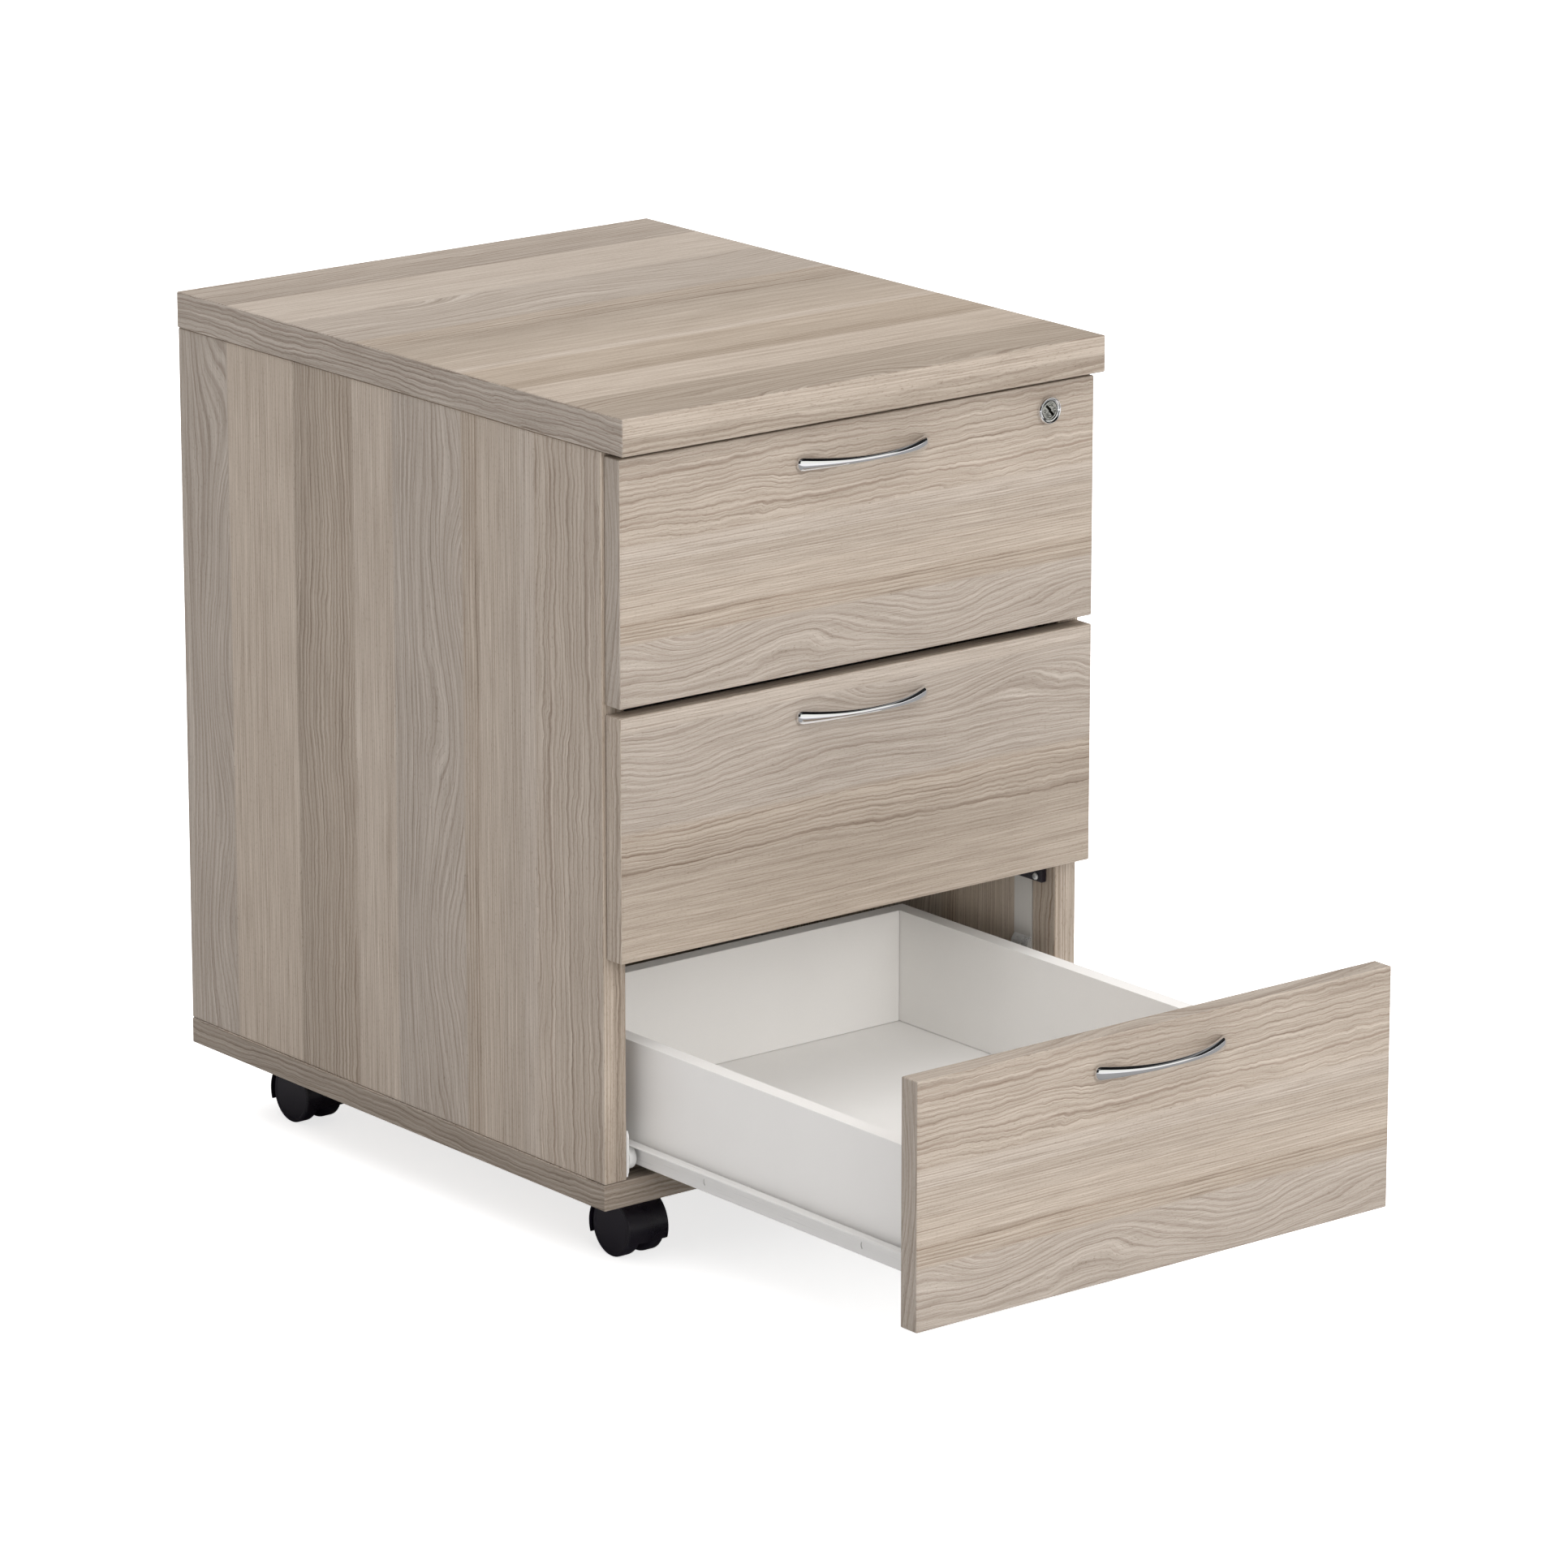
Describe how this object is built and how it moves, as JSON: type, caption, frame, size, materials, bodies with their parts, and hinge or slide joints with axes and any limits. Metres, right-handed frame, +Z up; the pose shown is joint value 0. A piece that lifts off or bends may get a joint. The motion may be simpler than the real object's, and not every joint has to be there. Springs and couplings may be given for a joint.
{
  "type": "rolling pedestal cabinet",
  "caption": "Under-desk pedestal with stacked drawers on roller runners, bow handles, a key lock and twin-wheel hooded castors, in grey oak effect board.",
  "frame": {"origin": "on the floor, under the middle of the bounding box with the bottom drawer open as at rest", "axes": "+Z up, -Y out of the drawer fronts, +X to the right as seen from the front"},
  "size_m": [0.404, 0.8102, 0.585],
  "materials": {
    "oak_top": "matt wood-effect laminate",
    "oak_front": "matt wood-effect laminate",
    "oak_side": "matt wood-effect laminate",
    "white_board": "satin white foil",
    "white_steel": "satin white paint",
    "white_nylon": "smooth nylon",
    "chrome": "polished",
    "aluminium": "brushed",
    "zinc": "zinc plated",
    "black_nylon": "moulded satin"
  },
  "bodies": {
    "carcass": {"top_panel": "oak_top", "left_side_panel": "oak_side", "right_side_panel": "oak_side", "back_panel": "oak_side", "base_panel": "oak_side", "lock_bar_guide": "black_nylon", "cabinet_runner_1_left": "white_steel", "cabinet_runner_1_right": "white_steel", "cabinet_runner_2_left": "white_steel", "cabinet_runner_2_right": "white_steel", "cabinet_runner_3_left": "white_steel", "cabinet_runner_3_right": "white_steel", "castor_front_left_plate": "zinc", "castor_rear_left_plate": "zinc", "castor_front_right_plate": "zinc", "castor_rear_right_plate": "zinc"},
    "drawer_1": {"drawer_1_front": "oak_front", "drawer_1_left_side": "white_board", "drawer_1_right_side": "white_board", "drawer_1_back": "white_board", "drawer_1_bottom": "white_board", "drawer_1_handle": "chrome", "drawer_1_left_runner": "white_steel", "drawer_1_right_runner": "white_steel", "lock_housing": "chrome"},
    "drawer_2": {"drawer_2_front": "oak_front", "drawer_2_left_side": "white_board", "drawer_2_right_side": "white_board", "drawer_2_back": "white_board", "drawer_2_bottom": "white_board", "drawer_2_handle": "chrome", "drawer_2_left_runner": "white_steel", "drawer_2_right_runner": "white_steel"},
    "drawer_3": {"drawer_3_front": "oak_front", "drawer_3_left_side": "white_board", "drawer_3_right_side": "white_board", "drawer_3_back": "white_board", "drawer_3_bottom": "white_board", "drawer_3_handle": "chrome", "drawer_3_left_runner": "white_steel", "drawer_3_right_runner": "white_steel"},
    "lock_cylinder": {"lock_cylinder": "chrome"},
    "lock_bar": {"lock_bar": "aluminium"},
    "front_roller_3_left": {"front_roller_3_left": "white_nylon"},
    "rear_roller_3_left": {"rear_roller_3_left": "white_nylon"},
    "front_roller_3_right": {"front_roller_3_right": "white_nylon"},
    "rear_roller_3_right": {"rear_roller_3_right": "white_nylon"},
    "castor_front_left_hood": {"castor_front_left_hood": "black_nylon"},
    "castor_front_left_outer_wheel": {"castor_front_left_outer_wheel": "black_nylon"},
    "castor_front_left_inner_wheel": {"castor_front_left_inner_wheel": "black_nylon"},
    "castor_rear_left_hood": {"castor_rear_left_hood": "black_nylon"},
    "castor_rear_left_outer_wheel": {"castor_rear_left_outer_wheel": "black_nylon"},
    "castor_rear_left_inner_wheel": {"castor_rear_left_inner_wheel": "black_nylon"},
    "castor_front_right_hood": {"castor_front_right_hood": "black_nylon"},
    "castor_front_right_outer_wheel": {"castor_front_right_outer_wheel": "black_nylon"},
    "castor_front_right_inner_wheel": {"castor_front_right_inner_wheel": "black_nylon"},
    "castor_rear_right_hood": {"castor_rear_right_hood": "black_nylon"},
    "castor_rear_right_outer_wheel": {"castor_rear_right_outer_wheel": "black_nylon"},
    "castor_rear_right_inner_wheel": {"castor_rear_right_inner_wheel": "black_nylon"}
  },
  "joints": [
    {"name": "drawer_1_slide", "type": "slide", "parent": "carcass", "child": "drawer_1", "axis": [0, -1, 0], "range_m": [0, 0.345]},
    {"name": "drawer_2_slide", "type": "slide", "parent": "carcass", "child": "drawer_2", "axis": [0, -1, 0], "range_m": [0, 0.345]},
    {"name": "drawer_3_slide", "type": "slide", "parent": "carcass", "child": "drawer_3", "axis": [0, -1, 0], "range_m": [-0.301, 0.044]},
    {"name": "lock_turn", "type": "hinge", "parent": "drawer_1", "child": "lock_cylinder", "pos_m": [0.1592, -0.0879, 0.5387], "axis": [0, -1, 0], "range_deg": [0, 90]},
    {"name": "lock_bar_slide", "type": "slide", "parent": "carcass", "child": "lock_bar", "axis": [0, 0, 1], "range_m": [0, 0.00594]},
    {"name": "front_roller_3_left_turn", "type": "hinge", "parent": "carcass", "child": "front_roller_3_left", "pos_m": [-0.1777, -0.0623, 0.0811], "axis": [1, 0, 0], "continuous": true},
    {"name": "rear_roller_3_left_turn", "type": "hinge", "parent": "drawer_3", "child": "rear_roller_3_left", "pos_m": [-0.1745, 0.0671, 0.0789], "axis": [1, 0, 0], "continuous": true},
    {"name": "front_roller_3_right_turn", "type": "hinge", "parent": "carcass", "child": "front_roller_3_right", "pos_m": [0.1777, -0.0623, 0.0811], "axis": [1, 0, 0], "continuous": true},
    {"name": "rear_roller_3_right_turn", "type": "hinge", "parent": "drawer_3", "child": "rear_roller_3_right", "pos_m": [0.1745, 0.0671, 0.0789], "axis": [1, 0, 0], "continuous": true},
    {"name": "castor_front_left_swivel", "type": "hinge", "parent": "carcass", "child": "castor_front_left_hood", "pos_m": [-0.1498, -0.0166, 0.043], "axis": [0, 0, 1], "continuous": true},
    {"name": "castor_front_left_outer_wheel_roll", "type": "hinge", "parent": "castor_front_left_hood", "child": "castor_front_left_outer_wheel", "pos_m": [-0.1498, -0.0286, 0.02], "axis": [1, 0, 0], "continuous": true},
    {"name": "castor_front_left_inner_wheel_roll", "type": "hinge", "parent": "castor_front_left_hood", "child": "castor_front_left_inner_wheel", "pos_m": [-0.1498, -0.0286, 0.02], "axis": [1, 0, 0], "continuous": true},
    {"name": "castor_rear_left_swivel", "type": "hinge", "parent": "carcass", "child": "castor_rear_left_hood", "pos_m": [-0.1498, 0.3514, 0.043], "axis": [0, 0, 1], "continuous": true},
    {"name": "castor_rear_left_outer_wheel_roll", "type": "hinge", "parent": "castor_rear_left_hood", "child": "castor_rear_left_outer_wheel", "pos_m": [-0.1498, 0.3394, 0.02], "axis": [1, 0, 0], "continuous": true},
    {"name": "castor_rear_left_inner_wheel_roll", "type": "hinge", "parent": "castor_rear_left_hood", "child": "castor_rear_left_inner_wheel", "pos_m": [-0.1498, 0.3394, 0.02], "axis": [1, 0, 0], "continuous": true},
    {"name": "castor_front_right_swivel", "type": "hinge", "parent": "carcass", "child": "castor_front_right_hood", "pos_m": [0.1498, -0.0166, 0.043], "axis": [0, 0, 1], "continuous": true},
    {"name": "castor_front_right_outer_wheel_roll", "type": "hinge", "parent": "castor_front_right_hood", "child": "castor_front_right_outer_wheel", "pos_m": [0.1498, -0.0286, 0.02], "axis": [1, 0, 0], "continuous": true},
    {"name": "castor_front_right_inner_wheel_roll", "type": "hinge", "parent": "castor_front_right_hood", "child": "castor_front_right_inner_wheel", "pos_m": [0.1498, -0.0286, 0.02], "axis": [1, 0, 0], "continuous": true},
    {"name": "castor_rear_right_swivel", "type": "hinge", "parent": "carcass", "child": "castor_rear_right_hood", "pos_m": [0.1498, 0.3514, 0.043], "axis": [0, 0, 1], "continuous": true},
    {"name": "castor_rear_right_outer_wheel_roll", "type": "hinge", "parent": "castor_rear_right_hood", "child": "castor_rear_right_outer_wheel", "pos_m": [0.1498, 0.3394, 0.02], "axis": [1, 0, 0], "continuous": true},
    {"name": "castor_rear_right_inner_wheel_roll", "type": "hinge", "parent": "castor_rear_right_hood", "child": "castor_rear_right_inner_wheel", "pos_m": [0.1498, 0.3394, 0.02], "axis": [1, 0, 0], "continuous": true}
  ],
  "couplings": [
    {"joint": "lock_turn", "follows": "lock_bar_slide", "rad_per_m": 264.44},
    {"joint": "front_roller_3_left_turn", "follows": "drawer_3_slide", "rad_per_m": 119.05},
    {"joint": "rear_roller_3_left_turn", "follows": "drawer_3_slide", "rad_per_m": 119.05},
    {"joint": "front_roller_3_right_turn", "follows": "drawer_3_slide", "rad_per_m": 119.05},
    {"joint": "rear_roller_3_right_turn", "follows": "drawer_3_slide", "rad_per_m": 119.05}
  ]
}
